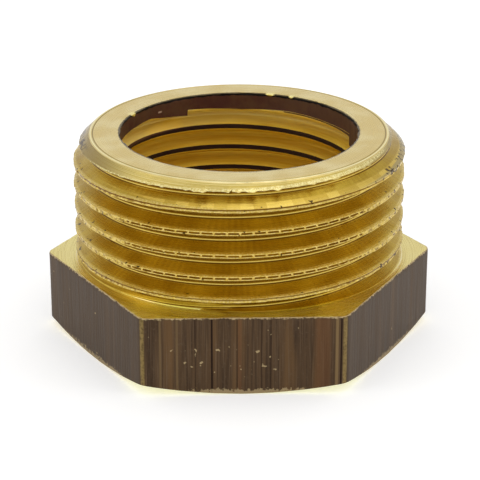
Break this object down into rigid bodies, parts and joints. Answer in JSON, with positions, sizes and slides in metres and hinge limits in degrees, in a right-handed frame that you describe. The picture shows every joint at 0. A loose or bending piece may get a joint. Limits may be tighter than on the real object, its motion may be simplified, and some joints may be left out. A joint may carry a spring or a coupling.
{
  "type": "hex bushing",
  "caption": "Short one-piece brass reducing bushing: a hex head, a male pipe thread above it and a female pipe thread through its middle.",
  "frame": {"origin": "on the thread axis, at the hex head's plain end", "axes": "+Z along the thread axis from the hex head to the male thread's end; +Y square to one pair of hex flats, +X through two hex corners"},
  "size_m": [0.0308, 0.027, 0.0167],
  "materials": {
    "brass": "turned, with raw extruded hex flats"
  },
  "bodies": {
    "root": {"hex_bushing": "brass"}
  },
  "joints": []
}
